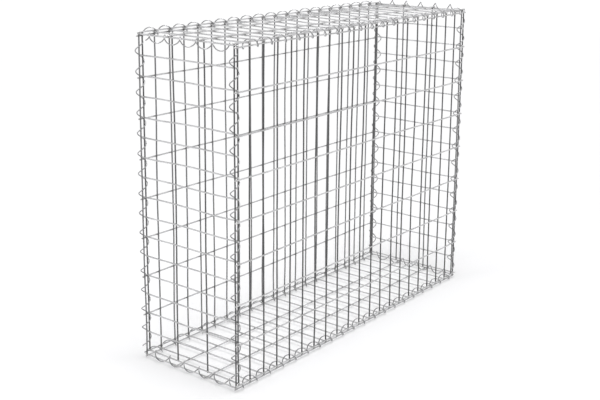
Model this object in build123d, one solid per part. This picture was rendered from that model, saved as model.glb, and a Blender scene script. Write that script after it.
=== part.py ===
from build123d import *
import math
import os

os.makedirs("parts", exist_ok=True)

# Basket between the edge wires of its panels, millimetres
basket_length = 1000
basket_depth = 300
basket_height = 800

# Mesh: wide cells one way and narrow cells the other
wide_cell = 100
narrow_cell = 50
column_cells = round(basket_length / narrow_cell)
depth_cells = round(basket_depth / wide_cell)
row_cells = round(basket_height / wide_cell)
column_spacing = basket_length / column_cells
depth_spacing = basket_depth / depth_cells
row_spacing = basket_height / row_cells
end_rows_per_cell = 2
end_row_spacing = row_spacing / end_rows_per_cell

# Mesh wire
mesh_wire = 4
weld_depth = 0.4
bar_sides = 6
layer_step = mesh_wire - weld_depth
column_stub = 3.5
row_stub = 4
end_row_stub = 6
seat_gap = 0.2
crossing_gap = 0.3

# Where the panels stand against each other
end_panel_inset = 10
end_panel_raise = mesh_wire + crossing_gap
long_side_shift = weld_depth
floor_panel_drop = column_stub + layer_step + mesh_wire / 2 + seat_gap

# Lacing spirals
spiral_wire = 3
coil_lean = 3.3
coil_end_gap = 14
turns_per_depth_cell = 2
coil_steps = 8
spiral_sides = 4

# Directions in which a hexagonal bar turns a ridge to the next layer
along_x = Vector(1, 0, 0)
along_y = Vector(0, 1, 0)
along_z = Vector(0, 0, 1)


def bar(start, end, ridge):
    """One straight mesh wire of hexagonal section, with a ridge turned to the wires that it is welded to."""
    line = Vector(*end) - Vector(*start)
    face = Plane(origin=start, x_dir=ridge, z_dir=line)
    section = face * RegularPolygon(radius=mesh_wire / 2, side_count=bar_sides)
    return extrude(section, amount=line.length, dir=line)


def welded(bars):
    """Bars welded where they cross, as one solid."""
    first, *rest = bars
    return first.fuse(*rest).clean()


def pair_axis(first, second, side):
    """Axis of a spiral whose inner face touches two edge wires, on one side of the line between them."""
    across = second[0] - first[0]
    up = second[1] - first[1]
    apart = math.hypot(across, up)
    offset = side * math.sqrt(coil_wire_reach**2 - (apart / 2) ** 2)
    middle_across = (first[0] + second[0]) / 2
    middle_up = (first[1] + second[1]) / 2
    return (middle_across - offset * up / apart, middle_up + offset * across / apart)


def spiral(plane, run, pitch, phase):
    """Right-handed lacing spiral of short straights. It starts at the plane's origin.

    The phase is its angle in degrees at the corner of the basket, one end gap before its start.
    """
    turn = 360 / coil_steps
    rise = pitch / coil_steps
    corners = [
        Vector(coil_corner_radius, 0, rise * step).rotate(Axis.Z, turn * step)
        for step in range(int(run / rise) + 1)
    ]
    path = Polyline(*corners)
    tip = Plane(origin=path @ 0, z_dir=path % 0)
    section = tip * RegularPolygon(radius=spiral_wire / 2, side_count=spiral_sides)
    coil = sweep(section, path=path, transition=Transition.RIGHT)
    return plane * Rot(0, 0, phase + 360 * coil_end_gap / pitch) * coil


half_length = basket_length / 2
half_depth = basket_depth / 2
long_column_y = half_depth + long_side_shift
long_row_y = long_column_y + layer_step
end_column_x = half_length - end_panel_inset
end_row_x = end_column_x + layer_step

# Heights, from the lowest level wire of the long sides
bottom_row_z = 0
top_row_z = bottom_row_z + basket_height
floor_panel_z = bottom_row_z - floor_panel_drop
lid_panel_z = top_row_z + floor_panel_drop
end_bottom_z = bottom_row_z + end_panel_raise
end_top_z = end_bottom_z + basket_height

base_cross_z = floor_panel_z + layer_step
lid_cross_z = lid_panel_z - layer_step

column_places = [-half_length + column_spacing * place for place in range(column_cells + 1)]
depth_places = [-half_depth + depth_spacing * place for place in range(depth_cells + 1)]
row_heights = [bottom_row_z + row_spacing * place for place in range(row_cells + 1)]
end_row_cells = row_cells * end_rows_per_cell
end_row_heights = [end_bottom_z + end_row_spacing * place for place in range(end_row_cells + 1)]

# Pairs of edge wires that a spiral holds, as their places across the edge
long_edge_apart = math.hypot(long_row_y - half_depth, floor_panel_drop)
short_edge_apart = math.hypot(half_length - end_row_x, end_bottom_z - base_cross_z)
upright_edge_apart = math.hypot(end_panel_inset, long_side_shift)
widest_apart = max(long_edge_apart, short_edge_apart, upright_edge_apart)

# One size of spiral goes round the widest pair, and seats on the wires of every pair
coil_wire_reach = math.hypot(widest_apart / 2, coil_lean)
coil_radius = coil_wire_reach + mesh_wire / 2 + seat_gap + spiral_wire / 2
coil_corner_radius = coil_radius / math.cos(math.pi / coil_steps)


def long_side_panel(side):
    """Front (side -1) or back (side 1): upright wires inside, level wires outside."""
    foot = bottom_row_z - column_stub
    head = top_row_z + column_stub
    reach = half_length + row_stub
    uprights = [
        bar((x, side * long_column_y, foot), (x, side * long_column_y, head), along_y)
        for x in column_places
    ]
    rows = [
        bar((-reach, side * long_row_y, z), (reach, side * long_row_y, z), along_y)
        for z in row_heights
    ]
    return welded(uprights + rows)


def end_panel(side):
    """Left (side -1) or right (side 1) end, set just inside the ends of the long sides."""
    foot = end_bottom_z - row_stub
    head = lid_panel_z - mesh_wire / 2 - seat_gap
    reach = half_depth + end_row_stub
    uprights = [
        bar((side * end_column_x, y, foot), (side * end_column_x, y, head), along_x)
        for y in depth_places
    ]
    rows = [
        bar((side * end_row_x, -reach, z), (side * end_row_x, reach, z), along_x)
        for z in end_row_heights
    ]
    return welded(uprights + rows)


def level_panel(height, inward):
    """Base (inward 1) or lid (inward -1): cross wires inside, long wires outside."""
    cross_reach = half_depth + row_stub
    long_reach = half_length + row_stub
    cross_z = height + inward * layer_step
    crosswise = [
        bar((x, -cross_reach, cross_z), (x, cross_reach, cross_z), along_z)
        for x in column_places
    ]
    lengthwise = [
        bar((-long_reach, y, height), (long_reach, y, height), along_z)
        for y in depth_places
    ]
    return welded(crosswise + lengthwise)


panels = {
    "front_panel": long_side_panel(-1),
    "back_panel": long_side_panel(1),
    "left_end_panel": end_panel(-1),
    "right_end_panel": end_panel(1),
    "base_panel": level_panel(floor_panel_z, 1),
    "lid_panel": level_panel(lid_panel_z, -1),
}


def long_spiral(side, wire_z, panel_z, lean, phase):
    """Spiral along a long edge. lean says on which side of its two edge wires it hangs."""
    y, z = pair_axis((side * long_row_y, wire_z), (side * half_depth, panel_z), lean)
    start = -half_length + coil_end_gap
    axis = Plane(origin=(start, y, z), x_dir=along_y, z_dir=along_x)
    return spiral(axis, basket_length - 2 * coil_end_gap, column_spacing, phase)


def short_spiral(side, wire_z, cross_z, lean, phase):
    """Spiral along a short level edge."""
    z, x = pair_axis((wire_z, side * end_row_x), (cross_z, side * half_length), lean)
    start = -half_depth + coil_end_gap
    axis = Plane(origin=(x, start, z), x_dir=along_z, z_dir=along_y)
    return spiral(axis, basket_depth - 2 * coil_end_gap, depth_spacing / turns_per_depth_cell, phase)


def upright_spiral(side_x, side_y, lean, phase):
    """Spiral up a corner."""
    long_wire = (side_x * half_length, side_y * long_column_y)
    end_wire = (side_x * end_column_x, side_y * half_depth)
    x, y = pair_axis(long_wire, end_wire, lean)
    axis = Plane(origin=(x, y, bottom_row_z + coil_end_gap), x_dir=along_x, z_dir=along_z)
    return spiral(axis, basket_height - 2 * coil_end_gap, end_row_spacing, phase)


# Each phase keeps its spiral clear of the wires that cross the edge
spirals = {
    "front_bottom_spiral": long_spiral(-1, bottom_row_z, floor_panel_z, 1, 68),
    "back_bottom_spiral": long_spiral(1, bottom_row_z, floor_panel_z, -1, 270),
    "front_top_spiral": long_spiral(-1, top_row_z, lid_panel_z, 1, 110),
    "back_top_spiral": long_spiral(1, top_row_z, lid_panel_z, -1, 145),
    "left_bottom_spiral": short_spiral(-1, end_bottom_z, base_cross_z, -1, 180),
    "right_bottom_spiral": short_spiral(1, end_bottom_z, base_cross_z, 1, 180),
    "left_top_spiral": short_spiral(-1, end_top_z, lid_cross_z, -1, 250),
    "right_top_spiral": short_spiral(1, end_top_z, lid_cross_z, -1, 45),
    "front_left_spiral": upright_spiral(-1, -1, 1, 5),
    "back_left_spiral": upright_spiral(-1, 1, 1, 32),
    "front_right_spiral": upright_spiral(1, -1, -1, 120),
    "back_right_spiral": upright_spiral(1, 1, 1, 305),
}

pieces = {**panels, **spirals}

# The basket stands on the lowest arcs of its bottom spirals
floor_level = min(shape.bounding_box().min.Z for shape in pieces.values())
for name, shape in pieces.items():
    export_step(Pos(0, 0, -floor_level) * shape, f"parts/{name}.step")
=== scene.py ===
import math

import bpy
import numpy as np
from mathutils import Matrix, Vector


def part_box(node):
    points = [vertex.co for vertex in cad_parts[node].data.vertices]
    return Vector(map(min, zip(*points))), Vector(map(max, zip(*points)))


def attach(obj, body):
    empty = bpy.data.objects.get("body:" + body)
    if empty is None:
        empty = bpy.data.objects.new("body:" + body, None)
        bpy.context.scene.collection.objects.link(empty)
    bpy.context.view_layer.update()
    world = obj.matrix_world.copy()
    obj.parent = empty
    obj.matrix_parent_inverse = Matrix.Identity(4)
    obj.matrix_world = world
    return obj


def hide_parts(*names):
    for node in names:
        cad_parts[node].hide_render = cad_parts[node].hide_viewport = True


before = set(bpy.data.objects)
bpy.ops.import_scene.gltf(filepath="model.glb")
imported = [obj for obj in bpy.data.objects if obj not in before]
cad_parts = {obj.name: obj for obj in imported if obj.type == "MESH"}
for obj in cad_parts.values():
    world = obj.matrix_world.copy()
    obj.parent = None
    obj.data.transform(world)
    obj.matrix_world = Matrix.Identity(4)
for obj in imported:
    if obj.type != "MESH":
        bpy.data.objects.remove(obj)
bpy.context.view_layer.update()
chance = np.random.default_rng(7)
FULL_TURN = 2 * math.pi

# Basket between the edge wires of its panels, metres
LENGTH, DEPTH, HEIGHT = 1.0, 0.3, 0.8
HALF_LENGTH, HALF_DEPTH = LENGTH / 2, DEPTH / 2
NARROW_CELL = 0.05
WIDE_CELL = 2 * NARROW_CELL
COLUMN_COUNT, CROSS_COUNT, LONG_ROW_COUNT, END_ROW_COUNT = 21, 4, 9, 17

# Mesh wires: the step between a panel's two layers, and how far wires pass the last crossing
MESH_RADIUS = 0.0019
LAYER_STEP = 0.0036
COLUMN_STUB = 0.0035
ROW_STUB = 0.004
END_ROW_STUB = 0.006
END_HEAD_STUB = 0.0028

# Where the panels stand against each other
LONG_SIDE_SHIFT = 0.0004
END_INSET = 0.010
END_RAISE = 0.0043
LEVEL_DROP = 0.0093
LONG_COLUMN_Y = HALF_DEPTH + LONG_SIDE_SHIFT
LONG_ROW_Y = LONG_COLUMN_Y + LAYER_STEP
END_COLUMN_X = HALF_LENGTH - END_INSET
END_ROW_X = END_COLUMN_X + LAYER_STEP
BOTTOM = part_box("front_panel")[0].z + COLUMN_STUB
TOP = BOTTOM + HEIGHT
BASE_Z = BOTTOM - LEVEL_DROP
LID_Z = TOP + LEVEL_DROP
END_BOTTOM = BOTTOM + END_RAISE
END_TOP = END_BOTTOM + HEIGHT

# Lacing spirals: COIL_REACH is from a spiral's axis to the edge wires inside it
COIL_RADIUS = 0.01045
COIL_REACH = 0.0068
COIL_END_GAP = 0.014
SPIRAL_RADIUS = 0.0014

# Unevenness: bends in a panel's plane, its bulge, and what a spiral strays, metres and radians
LONG_BEND, SHORT_BEND = 0.0022, 0.0015
ROW_BEND_SHARE = 0.8
BULGE = 0.002
BULGE_WAVES, BULGE_RATE = 3, 3
BULGE_SHARES, BULGE_TURNS, BULGE_STARTS = (0.3, 1), (0.6, 1.6), (0, 6)
COIL_WOBBLE, COIL_SWELL, COIL_SLIP = 0.0004, 0.0004, 0.12

# Welds: the rings of a blob as (height in wire radii, spread in blob sizes), and its scorched surroundings
WELD_RINGS = ((-0.9, 0.45), (-0.35, 0.95), (0.35, 0.95), (0.9, 0.45))
WELD_SIDES = 8
WELD_HEIGHT = 0.8
WELD_SIZES = (0.0019, 0.0026)
# The second number is the welds' weight of painted shade, half that of an upright wire
WELD_SCORCH, WELD_PAINTED_SHADE = 0.9, 0.5
SCORCH_REACH = 0.006

# Fineness of the wires
MESH_SIDES = 10
RING_SPACING = 0.0125
SPIRAL_SIDES = 8
SPIRAL_STEPS = 24
CUT_WIDTH, CUT_DEPTH = 0.8, 0.2

# A direction in which no wire runs
ASKEW = (0.31, 0.52, 0.79)


class Pile:
    """Vertices and faces of many wires, gathered into one mesh.

    Each vertex also has a share of weld tone (scorch) and a weight of painted shade, which on wires follows how
    steeply they rise.
    """

    def __init__(self):
        self.points, self.faces, self.marks, self.steep, self.count = [], [], [], [], 0

    def add(self, points, faces, marks, steep):
        self.points.append(points)
        self.faces.extend(tuple(self.count + k for k in face) for face in faces)
        self.marks.append(marks)
        self.steep.append(steep)
        self.count += len(points)

    def build(self, name, material, node):
        mesh = bpy.data.meshes.new(name)
        mesh.from_pydata(np.concatenate(self.points).tolist(), [], self.faces)
        for label, values in (("scorch", self.marks), ("painted_shade", self.steep)):
            attribute = mesh.attributes.new(label, "FLOAT", "POINT")
            attribute.data.foreach_set("value", np.concatenate(values).astype(np.float32))
        mesh.shade_smooth()
        mesh.materials.append(material)
        obj = bpy.data.objects.new(name, mesh)
        bpy.context.scene.collection.objects.link(obj)
        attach(obj, "root")
        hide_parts(node)


def tube_faces(rings, sides):
    """Faces of a tube through rings of equally many points, closed at both ends."""
    faces = []
    for ring in range(rings - 1):
        low, high = ring * sides, (ring + 1) * sides
        for k in range(sides):
            after = (k + 1) % sides
            faces.append((low + k, low + after, high + after, high + k))
    faces.append(tuple(reversed(range(sides))))
    faces.append(tuple(range((rings - 1) * sides, rings * sides)))
    return faces


def sweep(pile, path, radius, sides, scorch=None):
    """A round wire along a path of points, with cut ends. scorch is its weld tone at each point."""
    path = np.asarray(path, float)
    marks = np.zeros(len(path)) if scorch is None else scorch
    along = np.gradient(path, axis=0)
    along /= np.linalg.norm(along, axis=1)[:, None]
    side = np.cross(along[0], ASKEW)
    side /= np.linalg.norm(side)
    turn = np.linspace(0, FULL_TURN, sides, endpoint=False)
    rings = []
    for point, direction in zip(path, along):
        side = side - direction * (side @ direction)
        side /= np.linalg.norm(side)
        up = np.cross(direction, side)
        rings.append(point + radius * (np.cos(turn)[:, None] * side + np.sin(turn)[:, None] * up))
    head = path[0] + (rings[0] - path[0]) * CUT_WIDTH - along[0] * radius * CUT_DEPTH
    tail = path[-1] + (rings[-1] - path[-1]) * CUT_WIDTH + along[-1] * radius * CUT_DEPTH
    rings = [head, *rings, tail]
    marks = np.concatenate([marks[:1], marks, marks[-1:]])
    # The painted shade's weight: the square of how steeply the wire rises
    steep = np.concatenate([along[:1, 2], along[:, 2], along[-1:, 2]]) ** 2
    pile.add(np.concatenate(rings), tube_faces(len(rings), sides), np.repeat(marks, sides),
             np.repeat(steep, sides))


def nugget(pile, centre, normal, size):
    """A squeezed blob of weld metal between two crossing wires."""
    turn = normal.to_track_quat("Z", "Y").to_matrix()
    points = []
    for height, spread in WELD_RINGS:
        for k in range(WELD_SIDES):
            angle = FULL_TURN * k / WELD_SIDES
            local = Vector((math.cos(angle) * spread * size, math.sin(angle) * spread * size,
                            height * MESH_RADIUS * WELD_HEIGHT))
            points.append(Vector(centre) + turn @ local)
    pile.add(np.array(points), tube_faces(len(WELD_RINGS), WELD_SIDES), np.full(len(points), WELD_SCORCH),
             np.full(len(points), WELD_PAINTED_SHADE))


class Wander:
    """A smooth random offset along a wire, small at its ends."""

    HALF_WAVES = (1.3, 2.6, 5.1, 11)
    WEAKEST_WAVE = 0.3
    LEAN_SHARE = 0.6
    # The offset falls to this share over the last twelfth at each end
    END_SHARE = 0.15
    END_PARTS = 12

    def __init__(self, size, length):
        self.length = length
        self.waves = [
            (size * chance.uniform(self.WEAKEST_WAVE, 1) / turns, turns * math.pi, chance.uniform(0, FULL_TURN))
            for turns in self.HALF_WAVES
        ]
        self.lean = chance.uniform(-0.5, 0.5) * size

    def __call__(self, place):
        t = place / self.length
        edge = np.clip(np.minimum(t, 1 - t) * self.END_PARTS, 0, 1) * (1 - self.END_SHARE) + self.END_SHARE
        total = self.lean * (2 * t - 1) * self.LEAN_SHARE
        for size, rate, start in self.waves:
            total = total + size * np.sin(rate * t + start)
        return total * edge


def panel(name, columns, rows, place, column_run, row_run, bend, painted_shade_share=1.0):
    """One welded mesh panel.

    columns and rows hold the places of its wires across the other direction. column_run and row_run say from
    where to where they reach, and place turns (along the rows, along the columns, layer) into a point.
    The last argument is the share of the uprights' painted shade that this panel shows; a lower share paints
    the panel lighter.
    """
    pile = Pile()
    row_span, column_span = rows[-1] - rows[0], columns[-1] - columns[0]
    ranges = (BULGE_SHARES, BULGE_TURNS, BULGE_TURNS, BULGE_STARTS)
    warp = [[chance.uniform(*limits) for limits in ranges] for _ in range(BULGE_WAVES)]

    def swell(u, v):
        s, t = (u - columns[0]) / column_span, (v - rows[0]) / row_span
        hold = np.sin(math.pi * np.clip(s, 0, 1)) * np.sin(math.pi * np.clip(t, 0, 1))
        waves = sum(a * np.sin(p * BULGE_RATE * s + q * BULGE_RATE * t + c) for a, p, q, c in warp)
        return BULGE * hold * waves

    def wire(at, drift, run, crossings, is_row):
        """One wire at a place of its own, crossed by the wires of the other layer."""
        along = np.linspace(*run, round((run[1] - run[0]) / RING_SPACING) + 1)
        across = at + drift(np.clip(along - crossings[0], 0, crossings[-1] - crossings[0]))
        near = np.min(np.abs(along[:, None] - np.array(crossings)[None]), axis=1)
        spots = zip(along, across) if is_row else zip(across, along)
        layer = LAYER_STEP if is_row else 0
        path = [place(u, v, swell(u, v) + layer) for u, v in spots]
        sweep(pile, path, MESH_RADIUS, MESH_SIDES, np.exp(-((near / SCORCH_REACH) ** 2)))

    column_drift = [Wander(bend, row_span) for _ in columns]
    row_drift = [Wander(bend * ROW_BEND_SHARE, column_span) for _ in rows]
    for at, drift in zip(columns, column_drift):
        wire(at, drift, column_run, rows, False)
    for at, drift in zip(rows, row_drift):
        wire(at, drift, row_run, columns, True)
    outward = Vector(place(0, 0, 1)) - Vector(place(0, 0, 0))
    for across, column in zip(columns, column_drift):
        for up, row in zip(rows, row_drift):
            u = across + column(up - rows[0])
            v = up + row(across - columns[0])
            nugget(pile, place(u, v, swell(u, v) + LAYER_STEP / 2), outward, chance.uniform(*WELD_SIZES))
    # Painted shade: this panel's share of it; a lower share paints the panel lighter
    pile.steep = [steep * painted_shade_share for steep in pile.steep]
    pile.build(name + "_wires", mesh_metal, name)


def coil(name, axis_point, reach, phase):
    """A lacing spiral. axis_point turns (along, angle, radius, wobble) into a point."""
    low, high = reach
    steps = round((high - low) / NARROW_CELL * SPIRAL_STEPS)
    wobble, swell, slip = (Wander(size, high - low) for size in (COIL_WOBBLE, COIL_SWELL, COIL_SLIP))
    path = []
    for along in np.linspace(low, high, steps + 1):
        angle = math.radians(phase) + FULL_TURN * along / NARROW_CELL + slip(along - low)
        path.append(axis_point(along, angle, COIL_RADIUS + swell(along - low), wobble(along - low)))
    pile = Pile()
    sweep(pile, path, SPIRAL_RADIUS, SPIRAL_SIDES)
    pile.build(name + "_wire", spiral_metal, name)


def pair_axis(first, second, side):
    """Middle of a spiral that holds two edge wires, on one side of the line between them."""
    across, up = second[0] - first[0], second[1] - first[1]
    apart = math.hypot(across, up)
    offset = side * math.sqrt(COIL_REACH**2 - (apart / 2) ** 2)
    return (
        (first[0] + second[0]) / 2 - offset * up / apart,
        (first[1] + second[1]) / 2 + offset * across / apart,
    )


def long_coil(name, side, wire_z, panel_z, lean, phase):
    """Lacing along a long level edge."""
    y, z = pair_axis((side * LONG_ROW_Y, wire_z), (side * HALF_DEPTH, panel_z), lean)

    def point(along, angle, radius, wobble):
        return (along, y + radius * math.cos(angle) + wobble, z + radius * math.sin(angle))

    reach = HALF_LENGTH - COIL_END_GAP
    coil(name, point, (-reach, reach), phase)


def short_coil(name, side, wire_z, cross_z, lean, phase):
    """Lacing along a short level edge."""
    z, x = pair_axis((wire_z, side * END_ROW_X), (cross_z, side * HALF_LENGTH), lean)

    def point(along, angle, radius, wobble):
        return (x + radius * math.sin(angle) + wobble, along, z + radius * math.cos(angle))

    reach = HALF_DEPTH - COIL_END_GAP
    coil(name, point, (-reach, reach), phase)


def upright_coil(name, side_x, side_y, lean, phase):
    """Lacing up a corner."""
    long_wire = (side_x * HALF_LENGTH, side_y * LONG_COLUMN_Y)
    end_wire = (side_x * END_COLUMN_X, side_y * HALF_DEPTH)
    x, y = pair_axis(long_wire, end_wire, lean)

    def point(along, angle, radius, wobble):
        return (x + radius * math.cos(angle), y + radius * math.sin(angle) + wobble, BOTTOM + along)

    coil(name, point, (COIL_END_GAP, HEIGHT - COIL_END_GAP), phase)


def shader_node(tree, kind, operation=None, **values):
    """A node of a material or world, with constants on its sockets."""
    made = tree.nodes.new("ShaderNode" + kind)
    if operation:
        made.operation = operation
    for label, value in values.items():
        made.inputs[label.replace("_", " ")].default_value = value
    return made


def metal(name, tone, spread, roughness, upright_painted_share):
    """Galvanised wire: grey zinc with patches, fine drawing marks and dull scorched welds.

    Upright wires get painted shade: their tone falls, with how steeply they rise, to the share given last.
    """
    material = bpy.data.materials.new(name)
    material.use_nodes = True
    tree = material.node_tree
    join = tree.links.new
    shader = tree.nodes["Principled BSDF"]
    shader.inputs["Metallic"].default_value = 1.0

    place = shader_node(tree, "TexCoord")
    patches = shader_node(tree, "TexNoise", Scale=22, Detail=5)
    grain = shader_node(tree, "TexNoise", Scale=420, Detail=3)
    for texture in (patches, grain):
        join(place.outputs["Object"], texture.inputs["Vector"])

    # Zinc: patches with some grain in them
    blend = shader_node(tree, "Mix", Factor=0.35)
    join(patches.outputs["Fac"], blend.inputs["A"])
    join(grain.outputs["Fac"], blend.inputs["B"])
    zinc = shader_node(tree, "ValToRGB")
    dark, pale = zinc.color_ramp.elements
    dark.position, pale.position = 0.34, 0.66
    dark.color = (tone - spread, tone - spread, tone - spread * 0.92, 1)
    pale.color = (tone + spread, tone + spread, tone + spread * 1.06, 1)
    join(blend.outputs["Result"], zinc.inputs["Fac"])

    # Welds: a warmer, darker tone that fades along the wires
    weld = shader_node(tree, "Attribute")
    weld.attribute_name = "scorch"
    share = shader_node(tree, "Math", "MULTIPLY")
    share.inputs[1].default_value = 0.6
    join(weld.outputs["Fac"], share.inputs[0])
    dull = tree.nodes.new("ShaderNodeMix")
    dull.data_type = "RGBA"
    dull.inputs["B"].default_value = (tone * 0.45, tone * 0.44, tone * 0.42, 1)
    join(share.outputs[0], dull.inputs["Factor"])
    join(zinc.outputs["Color"], dull.inputs["A"])

    # Painted shade: a lower tone where the wires rise steeply, and on the welds
    steep = shader_node(tree, "Attribute")
    steep.attribute_name = "painted_shade"
    shade = shader_node(tree, "MapRange", To_Min=1.0, To_Max=upright_painted_share)
    join(steep.outputs["Fac"], shade.inputs["Value"])
    deepen = shader_node(tree, "VectorMath", "SCALE")
    join(dull.outputs["Result"], deepen.inputs[0])
    join(shade.outputs["Result"], deepen.inputs["Scale"])
    join(deepen.outputs["Vector"], shader.inputs["Base Color"])

    rough = shader_node(tree, "MapRange", To_Min=roughness - 0.09, To_Max=roughness + 0.12)
    join(patches.outputs["Fac"], rough.inputs["Value"])
    join(rough.outputs["Result"], shader.inputs["Roughness"])

    bump = shader_node(tree, "Bump", Strength=0.25, Distance=0.0003)
    join(grain.outputs["Fac"], bump.inputs["Height"])
    join(bump.outputs["Normal"], shader.inputs["Normal"])
    return material


# The last number is how much tone upright wires keep under the painted shade
mesh_metal = metal("mesh_metal", tone=0.62, spread=0.11, roughness=0.38, upright_painted_share=0.18)
spiral_metal = metal("spiral_metal", tone=0.50, spread=0.10, roughness=0.36, upright_painted_share=0.28)

columns = [-HALF_LENGTH + NARROW_CELL * k for k in range(COLUMN_COUNT)]
cross_places = [-HALF_DEPTH + WIDE_CELL * k for k in range(CROSS_COUNT)]
long_rows = [BOTTOM + WIDE_CELL * k for k in range(LONG_ROW_COUNT)]
end_rows = [END_BOTTOM + NARROW_CELL * k for k in range(END_ROW_COUNT)]

long_run = (-HALF_LENGTH - ROW_STUB, HALF_LENGTH + ROW_STUB)
cross_run = (-HALF_DEPTH - ROW_STUB, HALF_DEPTH + ROW_STUB)
end_row_run = (-HALF_DEPTH - END_ROW_STUB, HALF_DEPTH + END_ROW_STUB)
long_column_run = (BOTTOM - COLUMN_STUB, TOP + COLUMN_STUB)
end_column_run = (END_BOTTOM - ROW_STUB, END_TOP + END_HEAD_STUB)

# Each long and end panel's share of the painted shade; the back and end panels, with less of it, are painted
# lighter than the front
for name, side, painted_shade_share in (("front_panel", -1, 1.0), ("back_panel", 1, 0.8)):
    panel(name, columns, long_rows, lambda u, v, out, side=side: (u, side * (LONG_COLUMN_Y + out), v),
          long_column_run, long_run, LONG_BEND, painted_shade_share)
for name, side, painted_shade_share in (("left_end_panel", -1, 0.95), ("right_end_panel", 1, 0.84)):
    panel(name, cross_places, end_rows, lambda u, v, out, side=side: (side * (END_COLUMN_X + out), u, v),
          end_column_run, end_row_run, SHORT_BEND, painted_shade_share)
for name, level, inward in (("base_panel", BASE_Z, 1), ("lid_panel", LID_Z, -1)):
    panel(name, columns, cross_places,
          lambda u, v, out, level=level, inward=inward: (u, v, level + inward * (LAYER_STEP - out)),
          cross_run, long_run, SHORT_BEND)

long_coil("front_bottom_spiral", -1, BOTTOM, BASE_Z, 1, 68)
long_coil("back_bottom_spiral", 1, BOTTOM, BASE_Z, -1, 270)
long_coil("front_top_spiral", -1, TOP, LID_Z, 1, 110)
long_coil("back_top_spiral", 1, TOP, LID_Z, -1, 145)
short_coil("left_bottom_spiral", -1, END_BOTTOM, BASE_Z + LAYER_STEP, -1, 180)
short_coil("right_bottom_spiral", 1, END_BOTTOM, BASE_Z + LAYER_STEP, 1, 180)
short_coil("left_top_spiral", -1, END_TOP, LID_Z - LAYER_STEP, -1, 250)
short_coil("right_top_spiral", 1, END_TOP, LID_Z - LAYER_STEP, -1, 45)
upright_coil("front_left_spiral", -1, -1, 1, 5)
upright_coil("back_left_spiral", -1, 1, 1, 32)
upright_coil("front_right_spiral", 1, -1, -1, 120)
upright_coil("back_right_spiral", 1, 1, 1, 305)

# Floor and round wall. The glow rises with distance, by stops of (share of FLOOR_REACH, tone)
FLOOR_SIDES, FLOOR_REACH, WALL_HEIGHT = 64, 20, 14
GLOW_STOPS = ((0.0, 0.41), (0.06, 0.485), (0.16, 0.66), (0.4, 0.78), (0.9, 1.0))


def floor():
    """A pale floor and round wall that read as white to camera and gloss, and keep the basket's shadow."""
    turns = [FULL_TURN * k / FLOOR_SIDES for k in range(FLOOR_SIDES)]
    rim = [(FLOOR_REACH * math.cos(turn), FLOOR_REACH * math.sin(turn)) for turn in turns]
    corners = [(x, y, level) for level in (0, WALL_HEIGHT) for x, y in rim]
    walls = []
    for k in range(FLOOR_SIDES):
        after = (k + 1) % FLOOR_SIDES
        walls.append((k, after, FLOOR_SIDES + after, FLOOR_SIDES + k))
    mesh = bpy.data.meshes.new("floor")
    mesh.from_pydata(corners, [], [tuple(range(FLOOR_SIDES)), *walls])
    obj = bpy.data.objects.new("floor", mesh)
    bpy.context.scene.collection.objects.link(obj)

    material = bpy.data.materials.new("floor_white")
    material.use_nodes = True
    tree = material.node_tree
    join = tree.links.new
    tree.nodes.remove(tree.nodes["Principled BSDF"])
    matte = shader_node(tree, "BsdfDiffuse", Color=(0.62, 0.62, 0.63, 1))
    glow = shader_node(tree, "Emission")

    # The glow's tone, from the distance to the middle of the floor
    place = shader_node(tree, "TexCoord")
    away = shader_node(tree, "VectorMath", "LENGTH")
    share_away = shader_node(tree, "MapRange", From_Max=FLOOR_REACH)
    top_up = shader_node(tree, "ValToRGB")
    stops = top_up.color_ramp.elements
    for stop, tone in GLOW_STOPS:
        stops.new(stop).color = (tone, tone, tone, 1)
    stops.remove(stops[-1])
    stops.remove(stops[0])
    join(place.outputs["Object"], away.inputs[0])
    join(away.outputs["Value"], share_away.inputs["Value"])
    join(share_away.outputs["Result"], top_up.inputs["Fac"])
    join(top_up.outputs["Color"], glow.inputs["Color"])

    # Only camera, glossy and transmission rays see the glow, so it adds no diffuse light to the basket
    ray = shader_node(tree, "LightPath")
    seen = shader_node(tree, "Math", "MAXIMUM")
    through = shader_node(tree, "Math", "MAXIMUM")
    join(ray.outputs["Is Camera Ray"], seen.inputs[0])
    join(ray.outputs["Is Glossy Ray"], seen.inputs[1])
    join(seen.outputs[0], through.inputs[0])
    join(ray.outputs["Is Transmission Ray"], through.inputs[1])
    join(through.outputs[0], glow.inputs["Strength"])

    both = shader_node(tree, "AddShader")
    join(matte.outputs[0], both.inputs[0])
    join(glow.outputs[0], both.inputs[1])
    join(both.outputs[0], tree.nodes["Material Output"].inputs["Surface"])
    mesh.materials.append(material)


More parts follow.
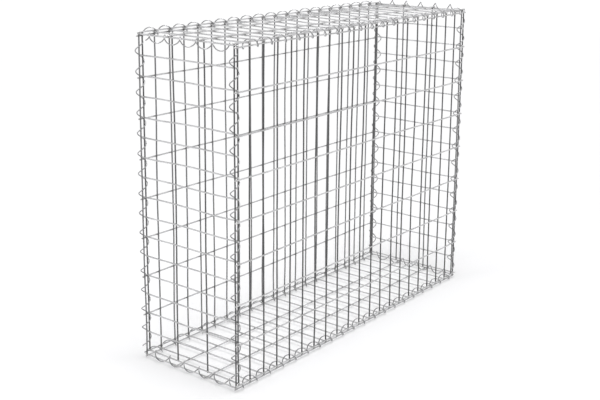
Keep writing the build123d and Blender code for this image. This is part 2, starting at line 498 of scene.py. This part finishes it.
def lamp(name, spot, target, size, power):
    light = bpy.data.lights.new(name, "AREA")
    light.shape = "RECTANGLE"
    light.size, light.size_y = size
    light.energy = power
    obj = bpy.data.objects.new(name, light)
    bpy.context.scene.collection.objects.link(obj)
    obj.location = spot
    obj.rotation_euler = (Vector(target) - Vector(spot)).to_track_quat("-Z", "Y").to_euler()


def sky():
    """Soft light all round, grey near the horizon and white from above."""
    world = bpy.data.worlds.new("studio")
    bpy.context.scene.world = world
    world.use_nodes = True
    tree = world.node_tree
    join = tree.links.new
    place = shader_node(tree, "TexCoord")
    split = shader_node(tree, "SeparateXYZ")
    ramp = shader_node(tree, "ValToRGB")
    horizon, overhead = ramp.color_ramp.elements
    horizon.position, overhead.position = 0.0, 0.6
    horizon.color, overhead.color = (0.2, 0.21, 0.23, 1), (1, 1, 1, 1)
    background = tree.nodes["Background"]
    background.inputs["Strength"].default_value = 0.55
    join(place.outputs["Generated"], split.inputs[0])
    join(split.outputs["Z"], ramp.inputs["Fac"])
    join(ramp.outputs["Color"], background.inputs["Color"])


floor()
lamp("overhead", spot=(-0.3, -0.2, 3.4), target=(0, 0, 0.3), size=(1.8, 1.3), power=75)
sky()

# Camera, from the grid's corners in the photograph
IMAGE_WIDTH, SENSOR_WIDTH = 600, 36
FOCAL_PIXELS = 1050.0
TURN, TILT, ROLL = math.radians(51.8), math.radians(12.93), math.radians(0.5)
SHIFT_Y = -0.1
EYE = (-2.200, -1.673, 1.118 + BOTTOM)

forward = Vector((math.sin(TURN) * math.cos(TILT), math.cos(TURN) * math.cos(TILT), -math.sin(TILT)))
right = Vector((math.cos(TURN), -math.sin(TURN), 0))
up = right.cross(forward)
right, up = right * math.cos(ROLL) + up * math.sin(ROLL), up * math.cos(ROLL) - right * math.sin(ROLL)
view = bpy.data.cameras.new("camera")
view.sensor_width = SENSOR_WIDTH
view.lens = FOCAL_PIXELS / IMAGE_WIDTH * SENSOR_WIDTH
view.shift_y = SHIFT_Y
eye = bpy.data.objects.new("camera", view)
bpy.context.scene.collection.objects.link(eye)
eye.matrix_world = Matrix.Translation(EYE) @ Matrix((right, up, -forward)).transposed().to_4x4()
bpy.context.scene.camera = eye
bpy.context.scene.view_settings.view_transform = "Standard"
